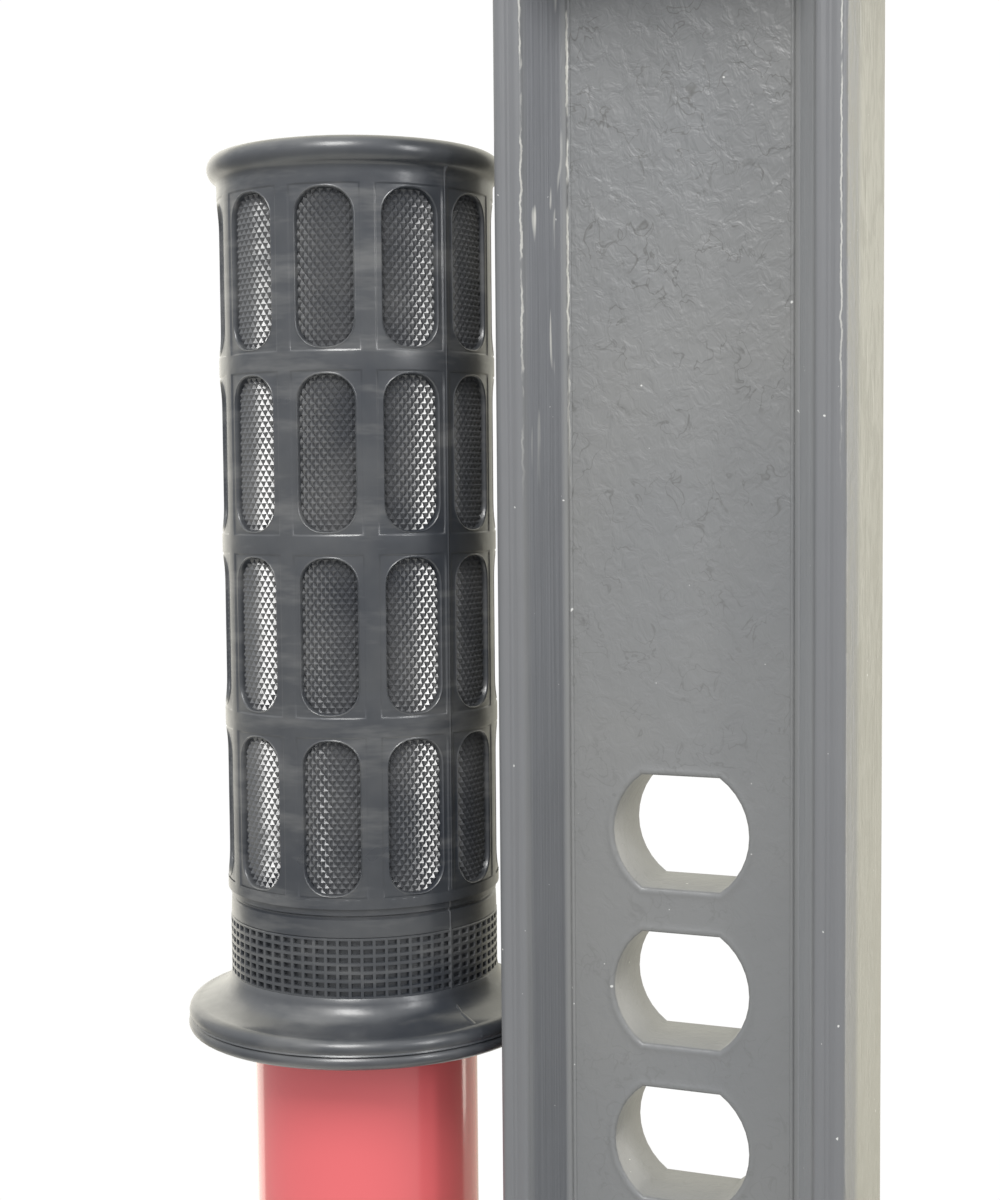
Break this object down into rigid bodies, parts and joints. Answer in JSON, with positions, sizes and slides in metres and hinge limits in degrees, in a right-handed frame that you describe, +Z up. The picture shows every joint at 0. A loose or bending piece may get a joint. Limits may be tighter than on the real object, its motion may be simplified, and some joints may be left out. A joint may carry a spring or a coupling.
{
  "type": "farm jack",
  "caption": "Farm jack with a punched I-beam climbing bar, base, lifting nose, climbing pins, linkage, top clevis and a swinging handle with a rubber grip.",
  "frame": {"origin": "centre of the base plate's flat underside, under the middle of the bar", "axes": "+Z up along the bar, +X towards the lifting nose, -X towards the handle, the bar's holes run along Y"},
  "size_m": [0.179, 0.13, 1.077],
  "materials": {
    "bar_paint": "grey hammered paint",
    "red_paint": "gloss",
    "red_cast": "semi-gloss paint on a cast surface",
    "black_cast": "satin paint on a cast surface",
    "grip_rubber": "matte, moulded pads with a diamond knurl",
    "zinc": "zinc plated",
    "steel": "bare, oiled",
    "spring_steel": "dark, oiled"
  },
  "bodies": {
    "bar_and_base": {"climbing_bar": "bar_paint", "base_plate": "black_cast", "base_bolt": "zinc", "base_washer": "zinc", "base_nut": "zinc", "clevis_body": "black_cast", "clevis_bolt": "zinc", "clevis_nut": "zinc", "clevis_pin": "zinc", "clevis_pin_clip": "zinc"},
    "large_runner": {"large_runner": "red_cast", "shear_bolt": "zinc", "shear_bolt_nut": "zinc", "lower_spring": "spring_steel", "lower_spring_cap": "zinc", "latch_screw": "zinc", "latch_spring": "spring_steel"},
    "small_runner": {"small_runner": "red_cast", "upper_spring": "spring_steel", "upper_spring_cap": "zinc"},
    "handle": {"handle_socket": "red_cast", "handle_tube": "red_paint", "handle_grip": "grip_rubber", "socket_bolt": "zinc", "socket_nut": "zinc", "lower_pitman_pin": "zinc", "lower_pitman_clip": "spring_steel"},
    "pitman": {"pitman_front": "black_cast", "pitman_back": "black_cast", "upper_pitman_pin": "zinc"},
    "lower_climbing_pin": {"lower_climbing_pin": "steel", "lower_cross_pin": "zinc"},
    "upper_climbing_pin": {"upper_climbing_pin": "steel", "upper_cross_pin": "zinc"},
    "reversing_latch": {"reversing_latch": "black_cast"}
  },
  "joints": [
    {"name": "runner_travel", "type": "slide", "parent": "bar_and_base", "child": "large_runner", "axis": [0, 0, 1], "range_m": [0, 0.7488]},
    {"name": "handle_swing", "type": "hinge", "parent": "large_runner", "child": "handle", "pos_m": [-0.052, 0, 0.118], "axis": [0, -1, 0], "range_deg": [0, 85]},
    {"name": "pitman_turn", "type": "hinge", "parent": "handle", "child": "pitman", "pos_m": [-0.06335, 0, 0.1284], "axis": [0, -1, 0], "range_deg": [-85, 0]},
    {"name": "small_runner_travel", "type": "slide", "parent": "large_runner", "child": "small_runner", "axis": [0, 0, 1], "range_m": [-0.0208, 0]},
    {"name": "lower_pin_travel", "type": "slide", "parent": "large_runner", "child": "lower_climbing_pin", "axis": [0, 1, 0], "range_m": [0, 0.013], "deforming": ["lower_spring"]},
    {"name": "upper_pin_travel", "type": "slide", "parent": "small_runner", "child": "upper_climbing_pin", "axis": [0, 1, 0], "range_m": [0, 0.013], "deforming": ["upper_spring"]},
    {"name": "latch_flip", "type": "hinge", "parent": "large_runner", "child": "reversing_latch", "pos_m": [0.022, 0, 0.112], "axis": [0, -1, 0], "range_deg": [0, 35]}
  ],
  "couplings": [
    {"joint": "pitman_turn", "follows": "handle_swing", "ratio": -1},
    {"joint": "small_runner_travel", "follows": "handle_swing", "m_per_rad": -0.01402}
  ]
}
